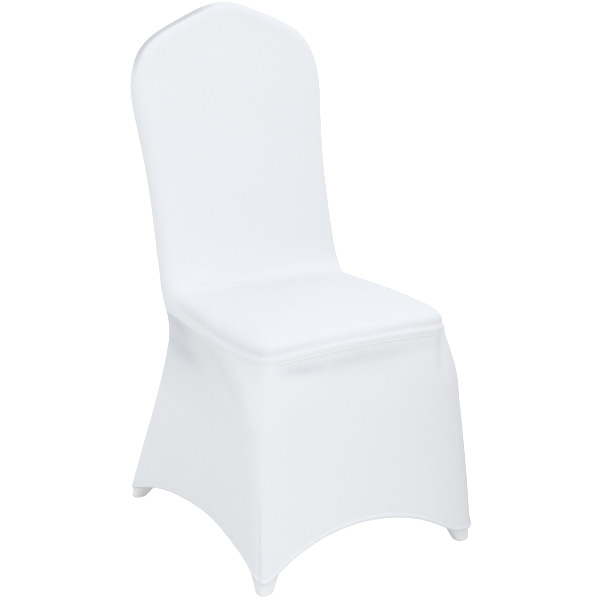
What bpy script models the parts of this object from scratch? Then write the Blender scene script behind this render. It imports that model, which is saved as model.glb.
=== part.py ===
"""Stretch chair cover for a crown back banquet chair.

The cover is one smooth form: a back, a seat and a skirt that reaches down the four legs. The form is
worked out from sections down the back and over the seat, from the outline of the crown, and from
levels down the skirt. Each sewn panel is then taken from the form as a closed sheet of its own.

Metres, +Z up. The chair faces -Y, its feet stand on Z = 0, and X = 0 is the plane of symmetry.
"""

from collections import namedtuple
from math import cos, pi, radians, sin

import bmesh
import bpy
import numpy as np
from mathutils import Vector

# The tables measure Y from a line this far in front of the middle of the cover.
MIDDLE_Y = 0.03381

# The cloth
CLOTH_THICKNESS = 0.0016
HEM_THICKNESS = 0.0026
HEM_WIDTH = 0.009
SEAM_GAP = 0.0003

# Left edge of the upper panel, from the shoulder down the back and forward over the seat.
# face: where the flat front or top surface ends. inset: how far in from the seam that is.
# seam: the seam on the panel's edge. turn: how far round the cloth has rolled there, in degrees.
Section = namedtuple("Section", "face_y face_z inset seam_x seam_y seam_z turn")
SECTIONS = (
    Section(0.231, 0.840, 0.020, 0.1780, 0.2620, 0.840, 115),
    Section(0.227, 0.800, 0.020, 0.1920, 0.2580, 0.800, 115),
    Section(0.223, 0.775, 0.020, 0.1940, 0.2540, 0.775, 115),
    Section(0.216, 0.740, 0.020, 0.1907, 0.2470, 0.740, 115),
    Section(0.208, 0.700, 0.020, 0.1870, 0.2390, 0.700, 115),
    Section(0.201, 0.660, 0.020, 0.1835, 0.2320, 0.660, 115),
    Section(0.191, 0.620, 0.020, 0.1812, 0.2225, 0.620, 115),
    Section(0.173, 0.540, 0.020, 0.1807, 0.2045, 0.540, 115),
    Section(0.158, 0.475, 0.021, 0.1820, 0.1900, 0.480, 115),
    Section(0.146, 0.447, 0.024, 0.1835, 0.1765, 0.435, 112),
    Section(0.124, 0.433, 0.028, 0.1840, 0.1625, 0.402, 105),
    Section(0.095, 0.431, 0.031, 0.1875, 0.1050, 0.4010, 92),
    Section(0.040, 0.431, 0.032, 0.1925, 0.0400, 0.3960, 90),
    Section(-0.040, 0.430, 0.032, 0.1965, -0.0400, 0.3900, 90),
    Section(-0.110, 0.428, 0.032, 0.1970, -0.1100, 0.3875, 90),
    Section(-0.158, 0.425, 0.028, 0.1928, -0.1580, 0.3870, 90),
    Section(-0.183, 0.421, 0.022, 0.1825, -0.1830, 0.3870, 90),
)
JUNCTION = 10

# Seam over the crown, from the shoulder to the middle.
CrownPoint = namedtuple("CrownPoint", "x y z depth")
CROWN = (
    CrownPoint(0.1780, 0.262, 0.8400, 0.031),
    CrownPoint(0.1655, 0.263, 0.8570, 0.031),
    CrownPoint(0.1480, 0.264, 0.8730, 0.030),
    CrownPoint(0.1250, 0.265, 0.8855, 0.029),
    CrownPoint(0.0950, 0.266, 0.8990, 0.028),
    CrownPoint(0.0600, 0.267, 0.9135, 0.027),
    CrownPoint(0.0300, 0.268, 0.9240, 0.026),
    CrownPoint(0.0000, 0.268, 0.9280, 0.026),
)

# Seam under the front of the seat, from the corner to the middle.
FrontPoint = namedtuple("FrontPoint", "x y z depth inset")
FRONT = (
    FrontPoint(0.1825, -0.1830, 0.3870, 0.034, 0.022),
    FrontPoint(0.1730, -0.1900, 0.3870, 0.036, 0.026),
    FrontPoint(0.1580, -0.1940, 0.3875, 0.037, 0.030),
    FrontPoint(0.1300, -0.1975, 0.3900, 0.035, 0.034),
    FrontPoint(0.0700, -0.2010, 0.3935, 0.0325, 0.036),
    FrontPoint(0.0000, -0.2030, 0.3950, 0.031, 0.036),
)

# Levels down the skirt: the square corners over the front and rear legs, their rounding, and how
# far the stretched cloth between the legs draws in.
Level = namedtuple("Level", "z front_x front_y rear_x rear_y corner side_dip front_dip rear_dip")
LEVELS = (
    Level(0.400, 0.2002, -0.1962, 0.1860, 0.1752, 0.060, 0.005, 0.009, 0.000),
    Level(0.375, 0.2037, -0.2007, 0.1855, 0.1630, 0.062, 0.007, 0.011, 0.002),
    Level(0.350, 0.2092, -0.2052, 0.1875, 0.1620, 0.058, 0.010, 0.012, 0.004),
    Level(0.310, 0.2134, -0.2109, 0.1915, 0.1690, 0.044, 0.013, 0.010, 0.007),
    Level(0.265, 0.2117, -0.2122, 0.1965, 0.1840, 0.032, 0.015, 0.008, 0.010),
    Level(0.200, 0.2141, -0.2160, 0.2025, 0.2100, 0.025, 0.0175, 0.008, 0.013),
    Level(0.130, 0.2168, -0.2203, 0.2075, 0.2420, 0.020, 0.018, 0.008, 0.014),
    Level(0.000, 0.2230, -0.2295, 0.2165, 0.3030, 0.020, 0.014, 0.006, 0.010),
)

# Arches of the hem between the feet
FOOT_HEM_Z = 0.024
Arch = namedtuple("Arch", "middle half_span height power")
FRONT_ARCH = Arch(-0.013, 0.191, 0.0850, 1.9)
SIDE_ARCH = Arch(0.012, 0.238, 0.0695, 2.6)
REAR_ARCH = Arch(0.0, 0.185, 0.0800, 2.0)

# Soft shapes laid over the sections
BACK_ROLL = 0.022
BACK_TURN = 115
FRONT_TURN = 90
SEAT_CROWN = 0.012
CROWN_RISE = 0.110
BACK_CROWN = 0.006
DIP_POINT = 0.45
GROOVE = (0.0, 0.0, 0.0005, 0.0016, -0.0004, -0.0055, 0.0)
GROOVE_START = 4

# Foot pockets
POCKET_WIDTH = 0.044
POCKET_DEPTH = 0.040
POCKET_HEIGHT = 0.032
POCKET_WALL = 0.0018
POCKET_INSET = 0.0038
POCKET_CORNER = 0.0155
POCKET_EDGE = 0.004
SOLE_SHARE = 0.62
SOLE_LEAN = 0.005

# How finely the form is divided
ACROSS = (1.0, 0.955, 0.90, 0.80, 0.68, 0.55, 0.41, 0.28, 0.14)
ALONG_BACK = (0.0, 0.08, 0.17, 0.26, 0.36, 0.46, 0.56, 0.66, 0.76, 0.85, 0.92, 0.965, 1.0)
ALONG_SEAT = (0.0, 0.03, 0.065, 0.15, 0.25, 0.36, 0.47, 0.58, 0.69, 0.79, 0.87, 0.93, 0.97, 1.0)
SKIRT_ROWS = 11
ROWS_TO_SEAM = 0.25
FRONT_RINGS = 6
REAR_RINGS = 3
SEAM_FADE = 0.060
HEM_PASSES = 6
HEM_ROWS = 2
WELD = 0.00002
MOST_SPREAD = 1.3
SHARP_FOLD = 50

SEAT_AND_BACK, REAR, LEFT, RIGHT, FRONT_SKIRT = range(5)
REAR_ARC = (BACK_TURN, 102, 90)
FRONT_ARC = (90, 67, 45)
FRONT_PANEL_ARC = (45, 22, 0)

UP = Vector((0.0, 0.0, 1.0))
REARWARD = Vector((0.0, 1.0, 0.0))


def read_smooth(rows, places, at):
    """Reads rows, which stand at rising places, at one place along a smooth curve."""
    slopes = np.gradient(rows, places, axis=0)
    i = int(np.clip(np.searchsorted(places, at, side="right") - 1, 0, len(places) - 2))
    width = places[i + 1] - places[i]
    t = (at - places[i]) / width
    start = (1 + 2 * t) * (1 - t) ** 2 * rows[i] + t * (1 - t) ** 2 * width * slopes[i]
    end = t * t * (3 - 2 * t) * rows[i + 1] - t * t * (1 - t) * width * slopes[i + 1]
    return start + end


def smooth_rows(table, shares):
    """Rows of a table of sections at shares of its length, from 0, its first row, to 1, its last."""
    rows = np.array(table, dtype=float)
    steps = np.linalg.norm(np.diff(rows[:, :6], axis=0), axis=1)
    places = np.concatenate(([0.0], np.cumsum(steps)))
    return [Section(*read_smooth(rows, places, share * places[-1])) for share in shares]


def smooth_at(table, value):
    """The row of a table at one value of its first column."""
    rows = np.array(sorted(table), dtype=float)
    value = float(np.clip(value, rows[0, 0], rows[-1, 0]))
    return type(table[0])(*read_smooth(rows, rows[:, 0], value))


def across():
    """Places of the columns from the left edge, -1, to the right edge, 1."""
    return [-u for u in ACROSS] + [0.0] + list(reversed(ACROSS))


def mirrored(point):
    """The same point on the other side of the plane of symmetry."""
    return Vector((-point.x, point.y, point.z))


def roll_point(seam, outward, depth, inset, turn, angle):
    """A point on the rolled edge: angle 0 is the flat face, and turn, in degrees, is the seam."""
    full = radians(turn)
    width = inset / sin(full)
    drop = depth / (1 - cos(full))
    centre = seam - outward * inset + drop * cos(full)
    return centre + outward * (width * sin(angle)) - drop * cos(angle)


class Edge:
    """One station on the seam round the upper panel, with the roll that leads to it."""

    def __init__(self, seam, outward, depth, inset, turn, groove):
        self.seam = seam
        self.outward = outward
        self.depth = depth
        self.inset = inset
        self.turn = turn
        self.groove = groove

    def front_ring(self, ring):
        """Ring 0 is the rim of the flat face, and the last ring is the seam."""
        angle = radians(self.turn) * ring / FRONT_RINGS
        point = roll_point(self.seam, self.outward, self.depth, self.inset, self.turn, angle)
        return point + self.outward * (GROOVE[ring] * self.groove)

    def rear_ring(self, ring):
        """Ring 0 is the seam, and the last ring is the rim of the flat rear face."""
        start = radians(self.turn)
        angle = start + (pi - start) * ring / REAR_RINGS
        drop = REARWARD * BACK_ROLL
        width = BACK_ROLL
        centre = self.seam - self.outward * (width * sin(start)) + drop * cos(start)
        return centre + self.outward * (width * sin(angle)) - drop * cos(angle)

    def mirror(self):
        return Edge(mirrored(self.seam), mirrored(self.outward), mirrored(self.depth),
                    self.inset, self.turn, self.groove)


def outward_of(points, i, depth):
    """Direction square to the seam and to the depth of the roll, away from the middle of the panel."""
    before = points[max(i - 1, 0)]
    after = points[min(i + 1, len(points) - 1)]
    return (after - before).cross(depth).normalized()


def seam_row(table):
    """Rows of the crown or the front at each column, and their seam points from left to right."""
    rows = [smooth_at(table, abs(u) * table[0].x) for u in across()]
    seams = [Vector((u * table[0].x, row.y, row.z)) for u, row in zip(across(), rows)]
    return rows, seams


def upper_loop():
    """Edges of the upper panel: left column top to bottom, crown row and front row left to right."""
    back = smooth_rows(SECTIONS[:JUNCTION + 1], ALONG_BACK)
    column = back[:-1] + smooth_rows(SECTIONS[JUNCTION:], ALONG_SEAT)
    crown, crown_seams = seam_row(CROWN)
    front, front_seams = seam_row(FRONT)
    column_seams = [Vector((-row.seam_x, row.seam_y, row.seam_z)) for row in column]
    half = len(ACROSS) + 1
    loop = front_seams[:half][::-1] + column_seams[1:-1][::-1] + crown_seams[:half]

    left = []
    for i, row in enumerate(column):
        depth = Vector((0.0, row.seam_y - row.face_y, row.seam_z - row.face_z))
        outward = outward_of(loop, len(loop) - half - i, depth)
        groove = min(max((i - len(back)) / GROOVE_START, 0.0), 1.0)
        left.append(Edge(column_seams[i], outward, depth, row.inset, row.turn, groove))

    top = []
    inset = BACK_ROLL * sin(radians(BACK_TURN))
    for i, row in enumerate(crown):
        depth = REARWARD * row.depth
        outward = outward_of(crown_seams, i, depth)
        top.append(Edge(crown_seams[i], outward, depth, inset, BACK_TURN, 0.0))

    bottom = []
    from_right = list(reversed(front_seams))
    for i, row in enumerate(front):
        depth = UP * -row.depth
        outward = outward_of(from_right, len(front) - 1 - i, depth)
        bottom.append(Edge(front_seams[i], outward, depth, row.inset, FRONT_TURN, 1.0))

    top[0] = left[0]
    top[-1] = left[0].mirror()
    bottom[0] = left[-1]
    bottom[-1] = left[-1].mirror()
    return left, top, bottom, len(back) - 1


def patch(left, right, top, bottom, top_fade, bottom_fade):
    """Fills a grid between its left and right edges, bent towards its top and bottom edges."""
    columns = across()
    grid = []
    for i, (a, b) in enumerate(zip(left, right)):
        row = []
        for j, u in enumerate(columns):
            share = (u + 1) / 2
            point = a.lerp(b, share)
            point = point + (top[j] - top[0].lerp(top[-1], share)) * top_fade[i]
            if bottom:
                point = point + (bottom[j] - bottom[0].lerp(bottom[-1], share)) * bottom_fade[i]
            row.append(point)
        grid.append(row)
    return grid


def fade(value):
    """Eases from 0 to 1, and stays there outside that range."""
    value = min(max(value, 0.0), 1.0)
    return value * value * (3 - 2 * value)


def upper_face(left, top, bottom, junction):
    """The flat part of the back and the seat, as one grid of points."""
    inner_left = [edge.front_ring(0) for edge in left]
    inner_right = [mirrored(point) for point in inner_left]
    inner_top = [edge.front_ring(0) for edge in top]
    inner_bottom = [edge.front_ring(0) for edge in bottom]
    last = len(left) - 1
    top_fade = [fade(1 - i / (junction - 2)) for i in range(last + 1)]
    bottom_fade = [fade((i - junction - 1) / (last - junction - 1)) for i in range(last + 1)]
    grid = patch(inner_left, inner_right, inner_top, inner_bottom, top_fade, bottom_fade)
    for i, row in enumerate(grid):
        for j, u in enumerate(across()):
            bulge = (1 - u * u) ** 2
            if i < junction - 2:
                reach = fade(i / 3) * fade((junction - 2 - i) / 3)
                row[j].y -= BACK_CROWN * bulge * reach
            if i > junction:
                from_back = (inner_left[junction].y - inner_left[i].y) / CROWN_RISE
                from_front = (inner_left[i].y - inner_left[-1].y) / CROWN_RISE
                row[j].z += SEAT_CROWN * bulge * fade(from_back) * fade(from_front)
    return grid


def rear_face(left, top, junction):
    """The flat part of the back of the cover, down to the seat, as one grid of points."""
    inner_left = [edge.rear_ring(REAR_RINGS) for edge in left[:junction + 1]]
    inner_right = [mirrored(point) for point in inner_left]
    inner_top = [edge.rear_ring(REAR_RINGS) for edge in top]
    top_fade = [fade(1 - i / (junction - 2)) for i in range(junction + 1)]
    return patch(inner_left, inner_right, inner_top, None, top_fade, None)


def front_corner(level, angle):
    """A point on the rounded corner over the left front leg: 0 faces front and 90 to the side."""
    turn = radians(angle)
    x = level.front_x - level.corner + level.corner * sin(turn)
    return -x, level.front_y + level.corner - level.corner * cos(turn)


def rear_corner(level, angle):
    """A point on the rounded corner over the left rear leg: 90 faces the side and 180 the rear."""
    turn = radians(angle)
    radius = min(level.corner, BACK_ROLL)
    x = level.rear_x - radius + radius * sin(turn)
    return -x, level.rear_y - radius - radius * cos(turn)


def draw_in(share):
    """How the stretched cloth draws in between two legs: nothing at a leg and 1 halfway."""
    return sin(pi * share) ** 2 * (1 - DIP_POINT + DIP_POINT * sin(pi * share))


def side_station(level, place):
    """Plan position of one station of the left side panel, from the rear seam to the front seam."""
    first = len(REAR_ARC) - 1
    last = len(ALONG_SEAT) - len(FRONT_ARC)
    if place <= first:
        return rear_corner(level, REAR_ARC[place])
    if place >= last:
        return front_corner(level, FRONT_ARC[place - last])
    start = rear_corner(level, 90)
    end = front_corner(level, 90)
    share = (ALONG_SEAT[place] - ALONG_SEAT[first]) / (ALONG_SEAT[last] - ALONG_SEAT[first])
    dip = level.side_dip * draw_in(share)
    return start[0] + (end[0] - start[0]) * share + dip, start[1] + (end[1] - start[1]) * share


def front_station(level, place):
    """Plan position of one station of the front panel, from its left seam to its right seam."""
    columns = across()
    flat = len(FRONT_PANEL_ARC) - 1
    from_end = min(place, len(columns) - 1 - place)
    if from_end < flat:
        x, y = front_corner(level, FRONT_PANEL_ARC[from_end])
        return (x if place == from_end else -x), y
    x, y = front_corner(level, 0)
    share = columns[place] / columns[flat]
    return x * share, y + level.front_dip * draw_in((1 - share) / 2)


def rear_station(level, u):
    """Plan position of one column of the flat part of the rear panel."""
    x, y = rear_corner(level, 180)
    return -x * u, y - level.rear_dip * draw_in((1 - abs(u)) / 2)


def arch_z(arch, place):
    """Height of the hem at one place along its arch."""
    reach = min(abs(place - arch.middle) / arch.half_span, 1.0)
    return max(arch.height * (1 - reach ** arch.power) ** (1 / arch.power), FOOT_HEM_Z)


def hem_z(arch, plan_at, axis):
    """Height of the hem where a station's own plan position crosses the arch."""
    z = arch.height
    for _ in range(HEM_PASSES):
        z = arch_z(arch, plan_at(smooth_at(LEVELS, z))[axis])
    return z


def skirt_heights(top_z, bottom_z):
    """Heights down one station, closer near the seam, with a last narrow row for the turned hem."""
    hem_top = bottom_z + HEM_WIDTH
    steps = [i / (SKIRT_ROWS - 1) for i in range(SKIRT_ROWS)]
    return [top_z + (hem_top - top_z) * (t - ROWS_TO_SEAM * t * (1 - t)) for t in steps] + [bottom_z]


def skirt_column(start, plan_at, bottom_z):
    """One station of the skirt from its point on the seam down to the hem."""
    first = plan_at(smooth_at(LEVELS, start.z))
    points = [start]
    for z in skirt_heights(start.z, bottom_z)[1:]:
        x, y = plan_at(smooth_at(LEVELS, z))
        near = 1 - fade((start.z - z) / SEAM_FADE)
        points.append(Vector((x + (start.x - first[0]) * near, y + (start.y - first[1]) * near, z)))
    return points


def skirt_grid(starts, stations, arch, axis):
    """The columns of one skirt panel, from its points on the seam and its stations in plan."""
    return [
        skirt_column(start, plan_at, hem_z(arch, plan_at, axis))
        for start, plan_at in zip(starts, stations)
    ]


def rows_of(columns):
    """Columns of points turned into rows, from the seam down."""
    return [list(row) for row in zip(*columns)]


def add_grid(form, rows, panel, hem_rows=0):
    """Adds a grid of points to the form as faces that carry their panel's number."""
    layer = form.faces.layers.int["panel"]
    thick = form.verts.layers.float["thickness"]
    made = [[form.verts.new(point) for point in row] for row in rows]
    for i, row in enumerate(made):
        for vert in row:
            vert[thick] = HEM_THICKNESS if i >= len(made) - hem_rows else CLOTH_THICKNESS
    for upper, lower in zip(made, made[1:]):
        for corners in zip(upper, lower, lower[1:], upper[1:]):
            form.faces.new(corners)[layer] = panel


def turned(rows):
    """The same grid on the other side of the plane of symmetry, facing out as before."""
    return [[mirrored(point) for point in reversed(row)] for row in rows]


def build_form():
    """The whole outer surface, welded at its seams."""
    form = bmesh.new()
    form.faces.layers.int.new("panel")
    form.verts.layers.float.new("thickness")
    left, top, bottom, junction = upper_loop()
    back = left[:junction + 1]
    rings = range(FRONT_RINGS + 1)

    add_grid(form, upper_face(left, top, bottom, junction), SEAT_AND_BACK)
    left_strip = [[edge.front_ring(FRONT_RINGS - k) for k in rings] for edge in left]
    add_grid(form, left_strip, SEAT_AND_BACK)
    add_grid(form, turned(left_strip), SEAT_AND_BACK)
    add_grid(form, [[edge.front_ring(FRONT_RINGS - k) for edge in top] for k in rings], SEAT_AND_BACK)
    add_grid(form, [[edge.front_ring(k) for edge in bottom] for k in rings], SEAT_AND_BACK)

    rings = range(REAR_RINGS + 1)
    flat_rear = rear_face(left, top, junction)
    add_grid(form, [list(reversed(row)) for row in flat_rear], REAR)
    rear_strip = [[edge.rear_ring(REAR_RINGS - k) for k in rings] for edge in back]
    add_grid(form, rear_strip, REAR)
    add_grid(form, turned(rear_strip), REAR)
    add_grid(form, [[edge.rear_ring(k) for edge in reversed(top)] for k in rings], REAR)

    seams = [edge.seam for edge in left[junction:]]
    stations = [lambda level, i=i: side_station(level, i) for i in range(len(seams))]
    side = skirt_grid(seams, stations, SIDE_ARCH, 1)
    add_grid(form, rows_of(side), LEFT, HEM_ROWS)
    add_grid(form, turned(rows_of(side)), RIGHT, HEM_ROWS)

    seams = [edge.seam for edge in bottom]
    stations = [lambda level, i=i: front_station(level, i) for i in range(len(seams))]
    front = skirt_grid(seams, stations, FRONT_ARCH, 0)
    front[0] = side[-1]
    front[-1] = [mirrored(point) for point in side[-1]]
    add_grid(form, rows_of(front), FRONT_SKIRT, HEM_ROWS)

    angles = [BACK_TURN + (180 - BACK_TURN) * k / REAR_RINGS for k in range(1, REAR_RINGS)]
    starts = [back[-1].rear_ring(k) for k in range(1, REAR_RINGS)]
    stations = [lambda level, angle=angle: rear_corner(level, angle) for angle in angles]
    corner = [side[0]] + skirt_grid(starts, stations, REAR_ARCH, 0)
    stations = [lambda level, u=u: rear_station(level, u) for u in across()]
    flat = skirt_grid(flat_rear[-1], stations, REAR_ARCH, 0)
    other_corner = [[mirrored(point) for point in column] for column in reversed(corner)]
    lower = list(reversed(corner + flat + other_corner))
    add_grid(form, rows_of(lower), REAR, HEM_ROWS)

    bmesh.ops.remove_doubles(form, verts=form.verts, dist=WELD)
    bmesh.ops.translate(form, verts=form.verts, vec=(0.0, -MIDDLE_Y, 0.0))
    form.normal_update()
    return form


def material_of(name, colour, roughness):
    """A plain cloth with one colour."""
    material = bpy.data.materials.new(name)
    material.use_nodes = True
    shader = material.node_tree.nodes["Principled BSDF"]
    shader.inputs["Base Color"].default_value = (*colour, 1.0)
    shader.inputs["Roughness"].default_value = roughness
    shader.inputs["Metallic"].default_value = 0.0
    return material


def seam_shifts(faces, layer, tag):
    """How far each point on a seam draws back, so that the two panels stay apart."""
    squares = {}
    for face in faces:
        for loop in face.loops:
            others = [other for other in loop.edge.link_faces if other[layer] != tag]
            if not others:
                continue
            start = loop.vert
            end = loop.link_loop_next.vert
            along = (end.co - start.co).normalized()
            for vert in (start, end):
                squares.setdefault(vert, []).append(vert.normal.cross(along).normalized())
    shifts = {}
    for vert, found in squares.items():
        total = sum(found, Vector())
        share = 1 + (found[0].dot(found[1]) if len(found) > 1 else 0)
        shifts[vert] = total * (SEAM_GAP / 2 / max(share, 0.5))
    return shifts


def sew_panel(form, tag, name, material, collection):
    """Makes one panel a closed sheet: its outer face, its inner face and the rim between them."""
    layer = form.faces.layers.int["panel"]
    thick = form.verts.layers.float["thickness"]
    faces = [face for face in form.faces if face[layer] == tag]
    shifts = seam_shifts(faces, layer, tag)
    sheet = bmesh.new()
    outer = {}
    inner = {}
    for vert in {vert for face in faces for vert in face.verts}:
        place = vert.co + shifts.get(vert, Vector())
        outer[vert] = sheet.verts.new(place)
        depth = vert[thick] * min(vert.calc_shell_factor(), MOST_SPREAD)
        inner[vert] = sheet.verts.new(place - vert.normal * depth)
    for face in faces:
        sheet.faces.new([outer[vert] for vert in face.verts])
        sheet.faces.new([inner[vert] for vert in reversed(face.verts)])
        for loop in face.loops:
            if sum(other[layer] == tag for other in loop.edge.link_faces) == 1:
                start = loop.vert
                end = loop.link_loop_next.vert
                sheet.faces.new((outer[end], outer[start], inner[start], inner[end]))
    bmesh.ops.triangulate(sheet, faces=sheet.faces)
    mesh = bpy.data.meshes.new(name)
    sheet.to_mesh(mesh)
    sheet.free()
    mesh.shade_smooth()
    mesh.set_sharp_from_angle(angle=radians(SHARP_FOLD))
    mesh.materials.append(material)
    panel = bpy.data.objects.new(name, mesh)
    collection.objects.link(panel)
    return panel


def foot_pocket(name, high, low, sign_x, sign_y, material, collection):
    """An open cup for the chair's foot: it leans along the leg and narrows to a flat sole."""
    size = Vector((POCKET_WIDTH, POCKET_DEPTH, POCKET_HEIGHT))
    bm = bmesh.new()
    bmesh.ops.create_cube(bm, size=1.0)
    bmesh.ops.scale(bm, verts=bm.verts, vec=size)
    bmesh.ops.translate(bm, verts=bm.verts, vec=(0.0, 0.0, POCKET_HEIGHT / 2))
    upright = [edge for edge in bm.edges if abs(edge.verts[0].co.z - edge.verts[1].co.z) > 0.01]
    bmesh.ops.bevel(bm, geom=upright, offset=POCKET_CORNER, segments=5, affect="EDGES", profile=0.5)
    top = [face for face in bm.faces if face.normal.z > 0.9]
    bmesh.ops.delete(bm, geom=top, context="FACES_ONLY")
    sole_edges = [edge for edge in bm.edges if all(vert.co.z < 0.001 for vert in edge.verts)]
    bmesh.ops.bevel(bm, geom=sole_edges, offset=POCKET_EDGE, segments=2, affect="EDGES", profile=0.5)
    for vert in bm.verts:
        below = 1 - vert.co.z / POCKET_HEIGHT
        width = 1 - (1 - SOLE_SHARE) * below
        vert.co.x = vert.co.x * width + sign_x * (low[0] - high[0] + SOLE_LEAN) * below
        vert.co.y = vert.co.y * width + sign_y * (low[1] - high[1] + SOLE_LEAN) * below
    for face in bm.faces:
        face.smooth = True
    mesh = bpy.data.meshes.new(name)
    bm.to_mesh(mesh)
    bm.free()
    mesh.materials.append(material)
    pocket = bpy.data.objects.new(name, mesh)
    pocket.location = (
        sign_x * (high[0] - POCKET_INSET - POCKET_WIDTH / 2),
        sign_y * (high[1] - POCKET_INSET - POCKET_DEPTH / 2) - MIDDLE_Y,
        0.0,
    )
    collection.objects.link(pocket)
    wall = pocket.modifiers.new("wall", "SOLIDIFY")
    wall.thickness = POCKET_WALL
    wall.offset = -1.0
    wall.use_even_offset = True
    return pocket


def main():
    for old in list(bpy.data.objects):
        bpy.data.objects.remove(old)
    collection = bpy.data.collections.new("stretch_chair_cover")
    bpy.context.scene.collection.children.link(collection)

    form = build_form()
    white = (0.86, 0.87, 0.89)
    for tag, name in (
        (SEAT_AND_BACK, "seat_and_back_panel"),
        (REAR, "rear_panel"),
        (LEFT, "side_panel_left"),
        (RIGHT, "side_panel_right"),
        (FRONT_SKIRT, "front_skirt_panel"),
    ):
        sew_panel(form, tag, name, material_of(name + "_cloth", white, 0.75), collection)
    form.free()

    high = smooth_at(LEVELS, POCKET_HEIGHT)
    low = smooth_at(LEVELS, 0.0)
    for end, sign_y, above, below in (
        ("front", -1, (high.front_x, -high.front_y), (low.front_x, -low.front_y)),
        ("rear", 1, (high.rear_x, high.rear_y), (low.rear_x, low.rear_y)),
    ):
        for side, sign_x in (("left", -1), ("right", 1)):
            name = "foot_pocket_" + end + "_" + side
            material = material_of(name + "_cloth", (0.8, 0.81, 0.83), 0.85)
            foot_pocket(name, above, below, sign_x, sign_y, material, collection)


main()
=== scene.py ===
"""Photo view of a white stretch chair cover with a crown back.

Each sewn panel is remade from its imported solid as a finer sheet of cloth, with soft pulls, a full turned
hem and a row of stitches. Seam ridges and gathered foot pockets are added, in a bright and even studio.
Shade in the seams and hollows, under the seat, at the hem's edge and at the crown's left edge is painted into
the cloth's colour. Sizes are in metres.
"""

from collections import namedtuple
from math import cos, pi, radians, sin

import bmesh
import bpy
import numpy as np
from mathutils import Matrix, Vector, noise
from mathutils.bvhtree import BVHTree
from mathutils.kdtree import KDTree


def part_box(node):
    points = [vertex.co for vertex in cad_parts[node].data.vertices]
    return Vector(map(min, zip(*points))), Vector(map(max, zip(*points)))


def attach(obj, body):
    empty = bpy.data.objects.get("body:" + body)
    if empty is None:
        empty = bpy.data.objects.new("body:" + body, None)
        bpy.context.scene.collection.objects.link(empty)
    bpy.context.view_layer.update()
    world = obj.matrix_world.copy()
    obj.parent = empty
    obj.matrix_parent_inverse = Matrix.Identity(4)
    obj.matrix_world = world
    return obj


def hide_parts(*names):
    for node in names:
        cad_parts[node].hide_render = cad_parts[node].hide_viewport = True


UP = Vector((0.0, 0.0, 1.0))

# Camera, found from the outline
CAMERA_DISTANCE = 2.7
CAMERA_TURN = radians(-31.06)
CAMERA_HEIGHT = radians(15.30)
CAMERA_ROLL = radians(0.78)
CAMERA_TARGET = Vector((0.0219, 0.0, 0.4143))
CAMERA_LENS = 90.56
SENSOR_WIDTH = 36.0

# Studio: the floor's glow, how much brighter the camera sees it, and the even surround
FLOOR_SIZE = 80.0
FLOOR_DROP = 0.0003
FLOOR_GLOW = 0.25
FLOOR_WHITE = 0.60
FLOOR_GREY = (0.62, 0.62, 0.62)
SURROUND = 0.98
SURROUND_COLOUR = (0.98, 0.99, 1.0)

# Soft lights: where each comes from, how many degrees wide it is and its strength
Light = namedtuple("Light", "direction spread strength")
LIGHTS = {
    "front_light": Light((0.15, -1.0, 0.45), 50, 0.30),
    "top_light": Light((0.2, -0.1, 1.0), 60, 0.20),
}

# Dark side card: the places of its near and far upright edge, and its lowest and highest point
CARD = ((0.31, -0.50), (1.05, -0.60), (0.0, 0.40))
CARD_GREY = (0.06, 0.06, 0.06)

# Thickness of the cloth and of its hem, and how steeply the hem thickens from its top
CLOTH = 0.0010
HEM = 0.0024
HEM_RISE = 4.0

# Foot pockets: thickness, how far they are drawn in, and the gathers made by the elastic
POCKET = 0.0014
POCKET_SUNK = 0.0002
GATHERS = 17
GATHER_DEPTH = 0.0003

# How a sheet's outer face is told from the rest of its solid, and its hem from the plain cloth
SAME_POINT = 0.00002
SHARP = radians(58)
REACH = 0.0045
THICK_BAND = 0.00235
ON_HEM_EDGE = 0.97
ON_SEAM = 0.99

# How many times each face of the solids is halved to make the fine skin
FINENESS = 2

# Turned hem: how full it is all round and at the front, and how far its edge is drawn in
HEM_FULL = 0.0001
FRONT_HEM_FULL = 0.0019
HEM_EDGE_DROP = 0.0006

# Shares of the hem's height: its stitched groove, the start of its full band and of its rounded edge
HEM_GROOVE = 0.08
HEM_GROOVE_WIDTH = 0.07
HEM_BAND = 0.12
HEM_BAND_FLAT = 0.6
HEM_EDGE = 0.80
# Share of the hem's height where the painted shade under its rounded edge starts
HEM_EDGE_DARK = 0.75
# Strength of the painted shade in the hem's stitched groove, and how fast it fades away from it
HEM_LINE = 0.22
HEM_LINE_FADE = 8.0

# Seams: the gap that is welded, the ridges and how deep they are sunk, and the dip and the painted shade
# along the seam
SEAM_WIDTH = 0.0006
SEAT_WELT = 0.0026
SEAT_WELT_SUNK = 0.0016
SKIRT_WELT = 0.0006
SKIRT_WELT_SUNK = 0.0004
LEAST_WELT = 0.12
SEAM_DIP = 0.0010
SEAM_SPREAD = 0.0045
CROWN_SPREAD = 0.0095
LEG_LINE = 0.5
SEAT_LINE = 0.2

# Fullness of the cloth over the seat's seam, and the band of painted shade above it
SEAT_FILL = 0.0042
FILL_AWAY = 0.0090
FILL_SPREAD = 0.0060
BAND_SHADE = 0.16
BAND_AWAY = 0.0200
BAND_SPREAD = 0.0080

# Painted shade: how much darker the colour is made in the hollows, at the waist, at the crown's left edge and
# at the lower edge of the hem
HOLLOW = 0.0022
HOLLOW_SHADE = 0.32
DEEPEST_HOLLOW = 1.4
WAIST_SHADE = 0.50
CROWN_SHADE = 1.0
FRONT_EDGE_SHADE = 0.4
REAR_EDGE_SHADE = 0.8

# Stitches of the hem, and the places and girths of the rings that shape one
STITCH_HEIGHT = 0.0080
STITCH_PITCH = 0.0038
STITCH_LENGTH = 0.0028
STITCH_RADIUS = 0.00022
STITCH_LIFT = 0.00005
STITCH_SIDES = 6
STITCH_RINGS = ((-0.5, 0.25), (-0.3, 1.0), (0.3, 1.0), (0.5, 0.25))

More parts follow.
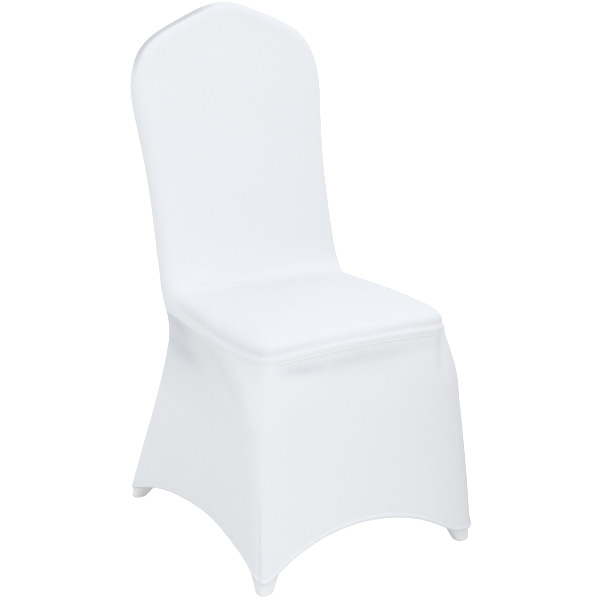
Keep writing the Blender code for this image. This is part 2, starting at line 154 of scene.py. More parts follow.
# Looks of the cloth: fineness of the knit, its relief, and how far its random tone and the painted shade
# darken it
KNIT_FINENESS = 1100.0
KNIT_RELIEF = 0.0003
TONE_SHARE = 0.08
LINE_SHARE = 0.8

# Width and height of the swells in the cloth
UNEVEN = ((0.110, 0.0006), (0.045, 0.0002))

# Where each thing eases from one side to the other, as places along one axis
RIDGE_SIDE = (-0.140, -0.085)
RIDGE_FRONT = (0.172, 0.150)
RIDGE_TOP = (0.500, 0.430)
LEG_SEAM_TOP = (0.200, 0.100)
FILLED_SIDE = (0.030, -0.100)
SKIRT_FRONT = (-0.205, -0.235)
# SIDE_REAR and the places below it ease where shade is painted: at the rear of the hem's edge, at the crown's
# left edge and at the waist
SIDE_REAR = (-0.05, 0.10)
CROWN_FOOT = (0.80, 0.86)
CROWN_EDGE = (0.0175, 0.0225)
CROWN_LEFT = (-0.06, 0.0)
WAIST_LOW = (0.22, 0.40)
WAIST_TOP = (0.40, 0.46)
WAIST_FRONT = (-0.16, 0.10)

# Where the cloth spans the fold between the seat and the backrest
FOLD = ((-0.155, 0.050, 0.415), (0.155, 0.175, 0.540))
FOLD_FADE = 0.080
FOLD_ROUNDS = 240

# Each panel: a point and a direction that meet its outer face, and its cut size
Panel = namedtuple("Panel", "start along cut")
PANELS = {
    "seat_and_back_panel": Panel((0.0, -1.0, 0.70), (0.0, 1.0, 0.0), (0.46, 1.02)),
    "rear_panel": Panel((0.0, 1.0, 0.70), (0.0, -1.0, 0.0), (0.46, 0.98)),
    "side_panel_left": Panel((-1.0, 0.0, 0.25), (1.0, 0.0, 0.0), (0.46, 0.37)),
    "side_panel_right": Panel((1.0, 0.0, 0.25), (-1.0, 0.0, 0.0), (0.46, 0.37)),
    "front_skirt_panel": Panel((0.0, -1.0, 0.25), (0.0, 1.0, 0.0), (0.42, 0.37)),
}

# Each foot pocket, with its side: -1 for left and 1 for right
POCKETS = {
    "foot_pocket_front_left": -1,
    "foot_pocket_front_right": 1,
    "foot_pocket_rear_left": -1,
    "foot_pocket_rear_right": 1,
}

# Soft pulls in the cloth: where each starts and ends, its half width and its depth
Pull = namedtuple("Pull", "start end half_width depth")
PULLS = (
    Pull((-0.155, -0.232, 0.372), (-0.085, -0.235, 0.367), 0.010, 0.0022),
    Pull((-0.140, -0.234, 0.369), (0.165, -0.234, 0.371), 0.011, 0.0018),
    Pull((0.167, -0.224, 0.390), (0.158, -0.235, 0.356), 0.006, 0.0020),
    Pull((0.158, -0.235, 0.356), (0.155, -0.244, 0.320), 0.007, 0.0016),
    Pull((-0.184, 0.115, 0.390), (-0.189, 0.035, 0.372), 0.012, 0.0024),
    Pull((-0.187, 0.110, 0.350), (-0.189, 0.000, 0.332), 0.018, 0.0026),
    Pull((-0.182, 0.090, 0.420), (-0.189, -0.030, 0.413), 0.010, 0.0016),
    Pull((-0.193, -0.060, 0.370), (-0.204, -0.185, 0.318), 0.014, 0.0016),
    Pull((-0.195, -0.075, 0.393), (-0.198, -0.140, 0.382), 0.009, -0.0016),
    Pull((-0.198, -0.140, 0.382), (-0.206, -0.198, 0.343), 0.011, -0.0030),
    Pull((-0.206, -0.198, 0.343), (-0.208, -0.226, 0.292), 0.011, -0.0020),
)


def sheet_thickness(cloth, tree):
    """How thick the sheet is under each face, or None on its rim."""
    thickness = {}
    for face in cloth.faces:
        inside = face.calc_center_median() - face.normal * 0.0001
        thickness[face] = tree.ray_cast(inside, -face.normal, REACH)[3]
    return thickness


def faces_reached(first, thickness):
    """The faces that join the first without a sharp edge between them."""
    kept = {first}
    waiting = [first]
    while waiting:
        for edge in waiting.pop().edges:
            if edge.calc_face_angle(pi) > SHARP:
                continue
            for other in edge.link_faces:
                if other not in kept and thickness[other] is not None:
                    kept.add(other)
                    waiting.append(other)
    return kept


def outer_face(node, start, along):
    """The outer face of one packed sheet, in quads, with its points marked as hem edge or seam."""
    cloth = bmesh.new()
    down = cloth.verts.layers.float.new("down_hem")
    seam = cloth.verts.layers.float.new("near_seam")
    cloth.from_mesh(node.data)
    cloth.transform(node.matrix_world)
    bmesh.ops.remove_doubles(cloth, verts=cloth.verts, dist=SAME_POINT)
    cloth.normal_update()
    tree = BVHTree.FromBMesh(cloth)
    thickness = sheet_thickness(cloth, tree)
    cloth.faces.ensure_lookup_table()
    first = cloth.faces[tree.ray_cast(Vector(start), Vector(along))[2]]
    kept = faces_reached(first, thickness)
    hem = [face for face in kept if thickness[face] > THICK_BAND]
    plain = [face for face in kept if thickness[face] <= THICK_BAND]
    plain_verts = {vert for face in plain for vert in face.verts}
    for face in hem:
        for vert in face.verts:
            vert[down] = float(vert not in plain_verts)
    spare = [face for face in cloth.faces if face not in kept]
    bmesh.ops.delete(cloth, geom=spare, context="FACES")
    for part in (hem, plain):
        bmesh.ops.join_triangles(cloth, faces=part, angle_face_threshold=radians(60),
                                 angle_shape_threshold=radians(80))
    for edge in cloth.edges:
        if edge.is_boundary and min(vert[down] for vert in edge.verts) < 0.5:
            for vert in edge.verts:
                vert[seam] = 1.0
    band = [edge for edge in cloth.edges if abs(edge.verts[0][down] - edge.verts[1][down]) > 0.5]
    if band:
        bmesh.ops.subdivide_edges(cloth, edges=band, cuts=2, use_grid_fill=True)
    return cloth


def face_arrays(cloth):
    """An outer face's points, its marks and its faces, ready to be joined to others."""
    cloth.verts.index_update()
    down = cloth.verts.layers.float["down_hem"]
    seam = cloth.verts.layers.float["near_seam"]
    points = [tuple(vert.co) for vert in cloth.verts]
    marks = [(vert[down], vert[seam]) for vert in cloth.verts]
    faces = [[vert.index for vert in face.verts] for face in cloth.faces]
    cloth.free()
    return points, marks, faces


def joined_mesh(name, parts):
    """One mesh of several faces, each polygon marked with the number of the face it came from."""
    points, marks, faces, numbers = [], [], [], []
    for number, (part_points, part_marks, part_faces) in enumerate(parts):
        first = len(points)
        points += part_points
        marks += part_marks
        faces += [[first + i for i in face] for face in part_faces]
        numbers += [number] * len(part_faces)
    mesh = bpy.data.meshes.new(name)
    mesh.from_pydata(points, [], faces)
    for column, label in enumerate(("down_hem", "near_seam")):
        mark = mesh.attributes.new(label, "FLOAT", "POINT")
        mark.data.foreach_set("value", [pair[column] for pair in marks])
    mesh.attributes.new("panel", "INT", "FACE").data.foreach_set("value", numbers)
    return mesh


def mesh_made_by(form):
    """The mesh that an object makes with its modifiers, kept in place of the object."""
    bpy.context.scene.collection.objects.link(form)
    graph = bpy.context.evaluated_depsgraph_get()
    mesh = bpy.data.meshes.new_from_object(form.evaluated_get(graph))
    bpy.data.objects.remove(form)
    return mesh


def smooth_mesh(coarse):
    """A mesh made finer and smooth, welded over its seams, with its open edges kept where they are.

    Where the backrest meets the seat the cloth spans the fold, so that part is eased further.
    """
    form = bpy.data.objects.new(coarse.name, coarse)
    sewn = form.modifiers.new("sewn", "WELD")
    sewn.merge_threshold = SEAM_WIDTH
    finer = form.modifiers.new("finer", "SUBSURF")
    finer.levels = FINENESS
    finer.boundary_smooth = "PRESERVE_CORNERS"
    fold = [vert for vert in coarse.vertices
            if all(low < at < high for low, at, high in zip(FOLD[0], vert.co, FOLD[1]))]
    if fold:
        group = form.vertex_groups.new(name="fold")
        for vert in fold:
            group.add([vert.index], min(1.0, (FOLD[1][0] - abs(vert.co.x)) / FOLD_FADE), "REPLACE")
        spanned = form.modifiers.new("spanned", "SMOOTH")
        spanned.vertex_group = "fold"
        spanned.factor = 0.5
        spanned.iterations = FOLD_ROUNDS
    mesh = mesh_made_by(form)
    bpy.data.meshes.remove(coarse)
    return mesh


def quads_of_panel(skin, number):
    """The corners of the skin's quads that belong to one panel, a row for each quad."""
    panel = np.empty(len(skin.polygons), dtype=np.int32)
    skin.attributes["panel"].data.foreach_get("value", panel)
    corners = np.empty(len(skin.loops), dtype=np.int32)
    skin.loops.foreach_get("vertex_index", corners)
    return corners.reshape(-1, 4)[panel == number]


def cut_out(skin, number, name):
    """The part of the smooth skin that belongs to one panel, as a mesh of its own."""
    kept, faces = np.unique(quads_of_panel(skin, number), return_inverse=True)
    points, _ = points_and_normals(skin)
    mesh = bpy.data.meshes.new(name)
    mesh.from_pydata(points[kept].tolist(), [], faces.reshape(-1, 4).tolist())
    for label in ("down_hem", "shade"):
        mesh.attributes.new(label, "FLOAT", "POINT").data.foreach_set("value", values(skin, label)[kept])
    return mesh


def values(mesh, name):
    """One number for each point of a mesh, from the mark of that name."""
    found = np.empty(len(mesh.vertices))
    mesh.attributes[name].data.foreach_get("value", found)
    return found


def points_and_normals(mesh):
    """The places of a mesh's points and the directions that they face, a row for each."""
    points = np.empty(len(mesh.vertices) * 3)
    mesh.vertices.foreach_get("co", points)
    normals = np.empty(len(mesh.vertices) * 3)
    mesh.vertex_normals.foreach_get("vector", normals)
    return points.reshape(-1, 3), normals.reshape(-1, 3)


def uneven(points):
    """Small swells and dips in the stretched cloth."""
    total = np.zeros(len(points))
    for width, height in UNEVEN:
        total += [noise.noise(Vector(point) / width) * height for point in points]
    return total


def eased(value, start, end):
    """Eases from 0 at start to 1 at end, and stays there outside."""
    share = np.clip((value - start) / (end - start), 0, 1)
    return share * share * (3 - 2 * share)


def pulled(points):
    """Depth of the soft pulls at each point."""
    total = np.zeros(len(points))
    for pull in PULLS:
        start, end = np.array(pull.start), np.array(pull.end)
        along = end - start
        share = (points - start) @ along / (along @ along)
        nearest = np.clip(share, 0, 1)
        away = np.linalg.norm(points - start - nearest[:, None] * along, axis=1)
        total -= pull.depth * np.exp(-((away / pull.half_width) ** 2)) * np.sin(pi * (0.15 + 0.7 * nearest))
    return total


def hem_swell(down, fullness):
    """Section of the turned hem: a stitched groove, a full band and a rounded edge."""
    groove = -HEM_FULL * np.exp(-(((down - HEM_GROOVE) / HEM_GROOVE_WIDTH) ** 2)) * (down > 0)
    across = np.clip(down - HEM_BAND, 0, 1) / (1 - HEM_BAND)
    band = np.clip(np.sin(pi * across), 0, 1) ** HEM_BAND_FLAT
    edge = -HEM_EDGE_DROP * np.clip((down - HEM_EDGE) / (1 - HEM_EDGE), 0, 1) ** 2
    return groove + fullness * band + edge


def front_share(points):
    """1 on the front of the skirt, and 0 on its sides and back."""
    return eased(points[:, 1], *SKIRT_FRONT)


def from_seat_seam(skin, points, near):
    """Which points are on the upper panel, the first, and how far every point is from its seam."""
    upper = np.zeros(len(points), dtype=bool)
    upper[quads_of_panel(skin, 0)] = True
    seam = points[upper & (near > ON_SEAM)]
    tree = KDTree(len(seam))
    for i, place in enumerate(seam):
        tree.insert(place, i)
    tree.balance()
    return upper, np.array([tree.find(point)[2] for point in points])


def seam_and_painted_shade(points, near, away):
    """How clearly the line of a seam shows, as a dip in the cloth and as painted shade: most on the back,
    faint on the seat, lost at its corners.
    """
    spread = SEAM_SPREAD + (CROWN_SPREAD - SEAM_SPREAD) * eased(points[:, 2], *CROWN_FOOT)
    back = eased(points[:, 2], *RIDGE_TOP[::-1]) * np.exp(-((away / spread) ** 2))
    leg = LEG_LINE * eased(points[:, 2], *LEG_SEAM_TOP)
    seat = SEAT_LINE * seat_ridge(points)
    return np.maximum(back, near ** 4 * np.maximum(leg, seat))


def seat_front(points, upper):
    """1 on the seat's front edge and the front part of its side edges, and 0 elsewhere."""
    return upper * (1 - eased(points[:, 2], *RIDGE_TOP[::-1])) * eased(points[:, 1], *FILLED_SIDE)


def filled(points, upper, away):
    """Fills the hollow over the seat's seam where the cloth is full."""
    return SEAT_FILL * seat_front(points, upper) * np.exp(-(((away - FILL_AWAY) / FILL_SPREAD) ** 2))


def waist(points, upper):
    """Where shade is painted at the waist: 1 at the sides of the skirt, close under the rear of the seat,
    easing to 0 downwards and forwards.
    """
    height = eased(points[:, 2], *WAIST_LOW) * (1 - eased(points[:, 2], *WAIST_TOP))
    return ~upper * height * eased(points[:, 1], *WAIST_FRONT)


def shade(points, down, line, pulls, upper, away):
    """How much darker the cloth looks: in seams and hollows, under the seat, and at the crown's left edge."""
    # Painted shade: the colour is darkened where the pulls sink the cloth into hollows
    hollow = HOLLOW_SHADE * np.clip(-pulls / HOLLOW, 0, DEEPEST_HOLLOW)
    # Painted shade: a soft darker band on the seat's front face, above its seam
    band = BAND_SHADE * seat_front(points, upper) * np.exp(-(((away - BAND_AWAY) / BAND_SPREAD) ** 2))
    # Painted shade: the lower edge of the hem is darkened as the shaded underside of its roll, on the front
    # and at the rear of the sides
    under = np.clip((down - HEM_EDGE_DARK) / (1 - HEM_EDGE_DARK), 0, 1)
    rear = eased(points[:, 1], *SIDE_REAR)
    edge = under * np.maximum(FRONT_EDGE_SHADE * front_share(points), REAR_EDGE_SHADE * rear)
    # Painted shade: a dark band along the crown's edge, on its left slope only
    crown = CROWN_SHADE * upper * eased(points[:, 2], *CROWN_FOOT) * (1 - eased(away, *CROWN_EDGE))
    crown *= 1 - eased(points[:, 0], *CROWN_LEFT)
    # Painted shade along the seams is joined here with the other painted shade
    dark = np.maximum(np.maximum(line, edge), crown)
    # Painted shade at the waist, where the cloth under the seat gets less light
    return np.maximum(dark, hollow + band + WAIST_SHADE * waist(points, upper))


def thicken(piece, down):
    """Gives the sheet its thickness, and the hem more."""
    group = piece.vertex_groups.new(name="hem")
    for i in np.flatnonzero(down > 0.01):
        group.add([int(i)], min(1.0, float(down[i]) * HEM_RISE), "REPLACE")
    wall = piece.modifiers.new("wall", "SOLIDIFY")
    wall.thickness = HEM
    wall.offset = -1.0
    wall.vertex_group = "hem"
    wall.thickness_vertex_group = CLOTH / HEM
    wall.use_even_offset = True


def keep_seams_smooth(mesh, down):
    """Parts the shading of the face from that of its rim on the seams, so that no line shows there."""
    cloth = bmesh.new()
    cloth.from_mesh(mesh)
    for edge in cloth.edges:
        on_hem = min(down[vert.index] for vert in edge.verts) > ON_HEM_EDGE
        edge.smooth = on_hem or not edge.is_boundary
    cloth.to_mesh(mesh)
    cloth.free()


def edge_chains(mesh, down):
    """The open edge of the face as chains of points, those along its hem apart from those of its seams."""
    uses = {}
    for polygon in mesh.polygons:
        for key in polygon.edge_keys:
            uses[key] = uses.get(key, 0) + 1
    chains = {"hem": [], "seam": []}
    for kind in chains:
        links = {}
        for (a, b), count in uses.items():
            if count == 1 and (min(down[a], down[b]) > ON_HEM_EDGE) == (kind == "hem"):
                links.setdefault(a, []).append(b)
                links.setdefault(b, []).append(a)
        while links:
            start = next((vert for vert, others in links.items() if len(others) == 1), None)
            if start is None:
                start = next(iter(links))
            chain = [start]
            while links.get(chain[-1]):
                following = links[chain[-1]].pop()
                links[following].remove(chain[-1])
                chain.append(following)
            links = {vert: others for vert, others in links.items() if others}
            chains[kind].append(chain)
    return chains


def split_at_corners(points):
    """Cuts a chain of points where it turns a corner."""
    steps = np.diff(points, axis=0)
    steps /= np.linalg.norm(steps, axis=1, keepdims=True)
    turns = np.einsum("ij,ij->i", steps[:-1], steps[1:])
    cuts = [0] + [i + 1 for i in np.flatnonzero(turns < cos(radians(50)))] + [len(points) - 1]
    return [points[a:b + 1] for a, b in zip(cuts, cuts[1:])]


def seat_ridge(points):
    """How strongly the seat's seam stands out at each of its points."""
    side = eased(points[:, 1], *RIDGE_SIDE)
    front = eased(np.abs(points[:, 0]), *RIDGE_FRONT)
    seat = eased(points[:, 2], *RIDGE_TOP)
    return LEAST_WELT + (1 - LEAST_WELT) * np.maximum(side, front) * seat


def leg_ridge(points):
    """How strongly the seam down a leg stands out: it is lost near the seat."""
    return LEAST_WELT + (1 - LEAST_WELT) * eased(points[:, 2], *LEG_SEAM_TOP)


def sunk(mesh, points, chain, depth):
    """The points of a chain, moved into the cloth."""
    _, normals = points_and_normals(mesh)
    return points[chain] - normals[chain] * depth


def welt(name, points, radius, shares, material):
    """The ridge of a sewn seam, along its points, with a share of its full radius at each."""
    curve = bpy.data.curves.new(name, "CURVE")
    curve.dimensions = "3D"
    curve.bevel_depth = radius
    curve.bevel_resolution = 2
    closed = np.linalg.norm(points[0] - points[-1]) < 0.001
    if closed:
        points = points[:-1]
        shares = shares[:-1]
    spline = curve.splines.new("POLY")
    spline.points.add(len(points) - 1)
    spline.points.foreach_set("co", np.column_stack([points, np.ones(len(points))]).ravel())
    spline.points.foreach_set("radius", shares)
    spline.use_cyclic_u = bool(closed)
    return add_piece(name, mesh_made_by(bpy.data.objects.new(name, curve)), material)


def add_piece(name, mesh, material):
    """A new piece of the cover, shaded smooth, in one material."""
    mesh.name = name
    mesh.materials.clear()
    mesh.materials.append(material)
    mesh.shade_smooth()
    piece = bpy.data.objects.new(name, mesh)
    bpy.context.scene.collection.objects.link(piece)
    return piece


def stitches(name, mesh, hems, material):
    """A row of thread stitches along the top of the hem."""
    tree = BVHTree.FromPolygons([v.co for v in mesh.vertices], [p.vertices for p in mesh.polygons])
    verts, faces = [], []
    for points in hems:
        steps = np.linalg.norm(np.diff(points, axis=0), axis=1)
        places = np.concatenate(([0], np.cumsum(steps)))
        for at in np.arange(STITCH_PITCH, places[-1] - STITCH_PITCH, STITCH_PITCH):
            here = Vector([np.interp(at, places, points[:, k]) for k in range(3)])
            ahead = Vector([np.interp(at + 0.001, places, points[:, k]) for k in range(3)])
            along = (ahead - here).normalized()
            normal = tree.find_nearest(here)[1]
            upward = normal.cross(along)
            if upward.z < 0:
                upward.negate()
            place, normal = tree.find_nearest(here + upward * STITCH_HEIGHT)[:2]
            side = normal.cross(along).normalized()
            first = len(verts)
            for share, girth in STITCH_RINGS:
                middle = place + along * (share * STITCH_LENGTH) + normal * STITCH_LIFT
                for k in range(STITCH_SIDES):
                    angle = k * 2 * pi / STITCH_SIDES
                    verts.append(middle + (side * cos(angle) + normal * sin(angle)) * (STITCH_RADIUS * girth))
            for ring in range(len(STITCH_RINGS) - 1):
                for k in range(STITCH_SIDES):
                    a = first + ring * STITCH_SIDES + k
                    b = first + ring * STITCH_SIDES + (k + 1) % STITCH_SIDES
                    faces.append((a, b, b + STITCH_SIDES, a + STITCH_SIDES))
    thread = bpy.data.meshes.new(name)
    thread.from_pydata(verts, [], faces)
    return add_piece(name, thread, material)


def new_group(name, inputs, outputs):
    """An empty node group with named number sockets, and its two end nodes."""
    tree = bpy.data.node_groups.new(name, "ShaderNodeTree")
    for label, value in inputs.items():
        socket = tree.interface.new_socket(label, in_out="INPUT", socket_type="NodeSocketFloat")
        socket.default_value = value
    for label in outputs:
        tree.interface.new_socket(label, in_out="OUTPUT", socket_type="NodeSocketFloat")
    return tree, tree.nodes.new("NodeGroupInput"), tree.nodes.new("NodeGroupOutput")


def math_node(tree, operation, a, b):
    """The result of a sum on two numbers or sockets."""
    node = tree.nodes.new("ShaderNodeMath")
    node.operation = operation
    for socket, value in zip(node.inputs, (a, b)):
        if isinstance(value, (int, float)):
            socket.default_value = value
        else:
            tree.links.new(value, socket)
    return node.outputs[0]


def knit_group():
    """Fine loops of the knit, as a height."""
    tree, given, out = new_group("stretch_knit", {"Scale": 1.0}, ["Height"])
    place = tree.nodes.new("ShaderNodeTexCoord").outputs["Object"]
    loops = tree.nodes.new("ShaderNodeTexVoronoi")
    tree.links.new(place, loops.inputs["Vector"])
    tree.links.new(math_node(tree, "MULTIPLY", given.outputs["Scale"], KNIT_FINENESS), loops.inputs["Scale"])
    tree.links.new(loops.outputs["Distance"], out.inputs["Height"])
    return tree


def tone_group():
    """Faint uneven whiteness of the cloth, from 0 to 1."""
    tree, given, out = new_group("cloth_tone", {"Scale": 9.0}, ["Tone"])
    place = tree.nodes.new("ShaderNodeTexCoord").outputs["Object"]
    cloud = tree.nodes.new("ShaderNodeTexNoise")
    cloud.inputs["Detail"].default_value = 3.0
    tree.links.new(place, cloud.inputs["Vector"])
    tree.links.new(given.outputs["Scale"], cloud.inputs["Scale"])
    tree.links.new(cloud.outputs["Fac"], out.inputs["Tone"])
    return tree


def seam_group():
    """A mask of painted shade: the shade mark on each point, for the seams, hollows, waist, crown edge and
    hem edge, and a line of painted shade in the stitched groove of the hem.
    """
    tree, given, out = new_group("seam_and_painted_shade", {"Hem": HEM_LINE}, ["Line"])
    # The painted shade mark of each point
    seam = tree.nodes.new("ShaderNodeAttribute")
    seam.attribute_name = "shade"
    down = tree.nodes.new("ShaderNodeAttribute")
    down.attribute_name = "down_hem"
    # Painted shade along the stitched groove of the hem
    from_line = math_node(tree, "SUBTRACT", down.outputs["Fac"], HEM_GROOVE)
    from_line = math_node(tree, "ABSOLUTE", from_line, 0.0)
    fade = math_node(tree, "MULTIPLY", from_line, HEM_LINE_FADE)
    line = math_node(tree, "MAXIMUM", math_node(tree, "SUBTRACT", given.outputs["Hem"], fade), 0.0)
    tree.links.new(math_node(tree, "MAXIMUM", seam.outputs["Fac"], line), out.inputs["Line"])
    return tree


GROUPS = {"knit": knit_group(), "tone": tone_group(), "line": seam_group()}


def use_group(tree, name, **numbers):
    """The output of a shared effect, placed in a material with its own values."""
    node = tree.nodes.new("ShaderNodeGroup")
    node.node_tree = GROUPS[name]
    for label, value in numbers.items():
        node.inputs[label].default_value = value
    return node.outputs[0]


def cloth_material(name, light, dark, knit_scale, bump, roughness, sheen):
    """White stretch cloth with a faint random tone, and painted shade in its seams, hollows and other shaded
    places.
    """
    material = bpy.data.materials.new(name)
    material.use_nodes = True
    tree = material.node_tree
    shader = tree.nodes["Principled BSDF"]
    # The dark colour is mixed in by the random tone and by the painted shade mask
    mix = tree.nodes.new("ShaderNodeMix")
    mix.data_type = "RGBA"
    mix.inputs["A"].default_value = (*light, 1.0)
    mix.inputs["B"].default_value = (*dark, 1.0)
    tone = math_node(tree, "MULTIPLY", use_group(tree, "tone"), TONE_SHARE)
    line = math_node(tree, "MULTIPLY", use_group(tree, "line"), LINE_SHARE)
    tree.links.new(math_node(tree, "ADD", tone, line), mix.inputs["Factor"])
    tree.links.new(mix.outputs["Result"], shader.inputs["Base Color"])
    relief = tree.nodes.new("ShaderNodeBump")
    relief.inputs["Strength"].default_value = bump
    relief.inputs["Distance"].default_value = KNIT_RELIEF
    tree.links.new(use_group(tree, "knit", Scale=knit_scale), relief.inputs["Height"])
    tree.links.new(relief.outputs["Normal"], shader.inputs["Normal"])
    shader.inputs["Roughness"].default_value = roughness
    shader.inputs["Sheen Weight"].default_value = sheen
    shader.inputs["Sheen Roughness"].default_value = 0.45
    shader.inputs["Specular IOR Level"].default_value = 0.25
    return material


def stretched_skin():
    """The outer faces of all the panels as one smooth, slightly uneven skin."""
    parts = [face_arrays(outer_face(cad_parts[name], panel.start, panel.along))
             for name, panel in PANELS.items()]
    skin = smooth_mesh(joined_mesh("skin", parts))
    down = values(skin, "down_hem")
    near = values(skin, "near_seam")
    points, normals = points_and_normals(skin)
    upper, away = from_seat_seam(skin, points, near)
    line = seam_and_painted_shade(points, near, away)
    pulls = pulled(points)
    lift = uneven(points) + pulls + filled(points, upper, away) - SEAM_DIP * line
    lift += hem_swell(down, HEM_FULL + FRONT_HEM_FULL * front_share(points))
    # Painted shade, kept as a mark on each point for the cloth's colour
    darker = shade(points, down, line, pulls, upper, away)
    skin.attributes.new("shade", "FLOAT", "POINT").data.foreach_set("value", darker)
    skin.vertices.foreach_set("co", (points + normals * lift[:, None]).ravel())
    skin.update()
    return skin


def dress_panel(name, skin, number, cloth_look, thread_look):
    """Remakes one panel in fine cloth, with its seam ridges and its stitched hem.
    """
    mesh = cut_out(skin, number, name + "_cloth")
    down = values(mesh, "down_hem")
    piece = add_piece(name + "_cloth", mesh, cloth_look)
    keep_seams_smooth(mesh, down)
    thicken(piece, down)
    chains = edge_chains(mesh, down)
    points, _ = points_and_normals(mesh)
    extra = []
    if chains["hem"]:
        hems = [points[chain] for chain in chains["hem"]]
        extra.append(stitches(name + "_hem_thread", mesh, hems, thread_look))
    if name == "seat_and_back_panel":
        edge = sunk(mesh, points, chains["seam"][0], SEAT_WELT_SUNK)
        extra.append(welt("edge_seam", edge, SEAT_WELT, seat_ridge(edge), cloth_look))
    if name.startswith("side_panel"):
        sides = [part for chain in chains["seam"]
                 for part in split_at_corners(sunk(mesh, points, chain, SKIRT_WELT_SUNK))]
        upright = [part for part in sides if np.ptp(part[:, 2]) > 0.2]
        for part in upright:
            where = "front" if part[:, 1].mean() < 0 else "rear"
            label = name.replace("side_panel", where + "_leg_seam")
            extra.append(welt(label, part, SKIRT_WELT, leg_ridge(part), cloth_look))
    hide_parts(name)
    for part in [piece] + extra:
        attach(part, "root")


def dress_pocket(name, look):
    """Remakes one foot pocket, gathered by its elastic."""
    side = POCKETS[name]
    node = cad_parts[name]
    low, high = (Vector(corner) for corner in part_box(name))
    middle = (low + high) / 2
    cloth = outer_face(node, (middle.x + side, middle.y, 0.012), (-side, 0.0, 0.0))
    mesh = smooth_mesh(joined_mesh(name + "_cloth", [face_arrays(cloth)]))
    points, normals = points_and_normals(mesh)
    angle = np.arctan2(points[:, 1] - middle.y, points[:, 0] - middle.x)
    height = np.clip(points[:, 2] / high.z, 0, 1)
    lift = GATHER_DEPTH * np.sin(angle * GATHERS) * height ** 1.5 - POCKET_SUNK
    mesh.vertices.foreach_set("co", (points + normals * lift[:, None]).ravel())
    mesh.update()
    piece = add_piece(name + "_cloth", mesh, look)
    wall = piece.modifiers.new("wall", "SOLIDIFY")
    wall.thickness = POCKET
    wall.offset = -1.0
    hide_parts(name)
    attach(piece, "root")


def place_camera():
    """The camera where the photo's was."""
    back = Vector((
        sin(CAMERA_TURN) * cos(CAMERA_HEIGHT),
        -cos(CAMERA_TURN) * cos(CAMERA_HEIGHT),
        sin(CAMERA_HEIGHT),
    ))
    right = UP.cross(back).normalized()
    upward = back.cross(right)
    turn = Matrix((right, upward, back)).transposed() @ Matrix.Rotation(-CAMERA_ROLL, 3, "Z")
    data = bpy.data.cameras.new("camera")
    data.lens = CAMERA_LENS
    data.sensor_width = SENSOR_WIDTH
    data.clip_start = 0.05
    camera = bpy.data.objects.new("camera", data)
    camera.matrix_world = Matrix.LocRotScale(CAMERA_TARGET + back * CAMERA_DISTANCE, turn, None)
    bpy.context.scene.collection.objects.link(camera)
    bpy.context.scene.camera = camera


def wide_light(name, direction, spread, strength):
    """A very wide, soft light that comes from one direction, as a sun so that its place doesn't matter."""
    data = bpy.data.lights.new(name, "SUN")
    data.angle = radians(spread)
    data.energy = strength
    light = bpy.data.objects.new(name, data)
    light.rotation_euler = Vector(direction).to_track_quat("Z", "Y").to_euler()
    light.location = Vector(direction).normalized() * 3.0
    bpy.context.scene.collection.objects.link(light)


def stage_sheet(name, corners, colour):
    """A flat matt sheet of the studio, with its material's nodes."""
    sheet = bpy.data.meshes.new(name)
    sheet.from_pydata(corners, [], [(0, 1, 2, 3)])
    material = bpy.data.materials.new(name)
    material.use_nodes = True
    shader = material.node_tree.nodes["Principled BSDF"]
    shader.inputs["Base Color"].default_value = (*colour, 1.0)
    shader.inputs["Roughness"].default_value = 0.9
    shader.inputs["Specular IOR Level"].default_value = 0.0
    sheet.materials.append(material)
    piece = bpy.data.objects.new(name, sheet)
    bpy.context.scene.collection.objects.link(piece)
    return piece, material.node_tree, shader


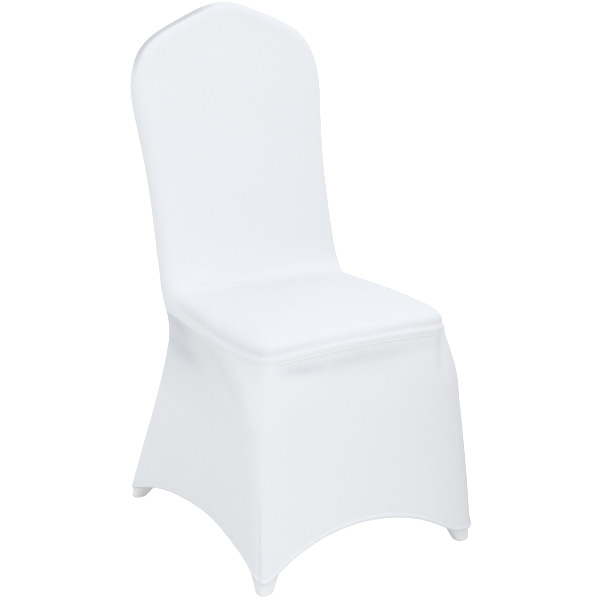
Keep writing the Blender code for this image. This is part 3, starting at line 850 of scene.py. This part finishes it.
def studio():
    """A pale floor that shows pure white, an even surround, soft lights and a dark side card."""
    side = FLOOR_SIZE / 2
    corners = [(-side, -side, 0), (side, -side, 0), (side, side, 0), (-side, side, 0)]
    ground, tree, shader = stage_sheet("floor", corners, FLOOR_GREY)
    ground.location.z = -FLOOR_DROP
    seen = tree.nodes.new("ShaderNodeLightPath").outputs["Is Camera Ray"]
    shader.inputs["Emission Color"].default_value = (1.0, 1.0, 1.0, 1.0)
    glow = math_node(tree, "ADD", math_node(tree, "MULTIPLY", seen, FLOOR_WHITE), FLOOR_GLOW)
    tree.links.new(glow, shader.inputs["Emission Strength"])
    near, far, (low, high) = CARD
    card_corners = [(*near, low), (*far, low), (*far, high), (*near, high)]
    card, _, _ = stage_sheet("side_card", card_corners, CARD_GREY)
    card.visible_camera = False
    world = bpy.data.worlds.new("surround")
    world.use_nodes = True
    background = world.node_tree.nodes["Background"]
    background.inputs["Color"].default_value = (*SURROUND_COLOUR, 1.0)
    background.inputs["Strength"].default_value = SURROUND
    bpy.context.scene.world = world
    for name, light in LIGHTS.items():
        wide_light(name, *light)
    bpy.context.scene.view_settings.view_transform = "Standard"


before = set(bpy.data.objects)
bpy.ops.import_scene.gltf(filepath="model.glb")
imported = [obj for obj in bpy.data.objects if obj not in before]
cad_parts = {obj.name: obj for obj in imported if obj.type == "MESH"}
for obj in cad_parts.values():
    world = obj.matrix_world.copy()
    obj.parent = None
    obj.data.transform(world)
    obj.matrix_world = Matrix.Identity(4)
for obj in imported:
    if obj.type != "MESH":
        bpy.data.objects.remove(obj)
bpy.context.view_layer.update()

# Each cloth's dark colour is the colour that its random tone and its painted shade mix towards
white = cloth_material("white_knit", light=(0.820, 0.833, 0.855), dark=(0.56, 0.575, 0.60),
                       knit_scale=1.0, bump=0.25, roughness=0.75, sheen=0.03)
elastic = cloth_material("pocket_elastic", light=(0.86, 0.87, 0.88), dark=(0.60, 0.61, 0.62),
                         knit_scale=0.7, bump=0.5, roughness=0.8, sheen=0.03)
thread = cloth_material("white_thread", light=(0.80, 0.81, 0.83), dark=(0.70, 0.71, 0.72),
                        knit_scale=2.0, bump=0.1, roughness=0.6, sheen=0.0)
skin = stretched_skin()
for number, panel in enumerate(PANELS):
    dress_panel(panel, skin, number, white, thread)
bpy.data.meshes.remove(skin)
for pocket in POCKETS:
    dress_pocket(pocket, elastic)
studio()
place_camera()
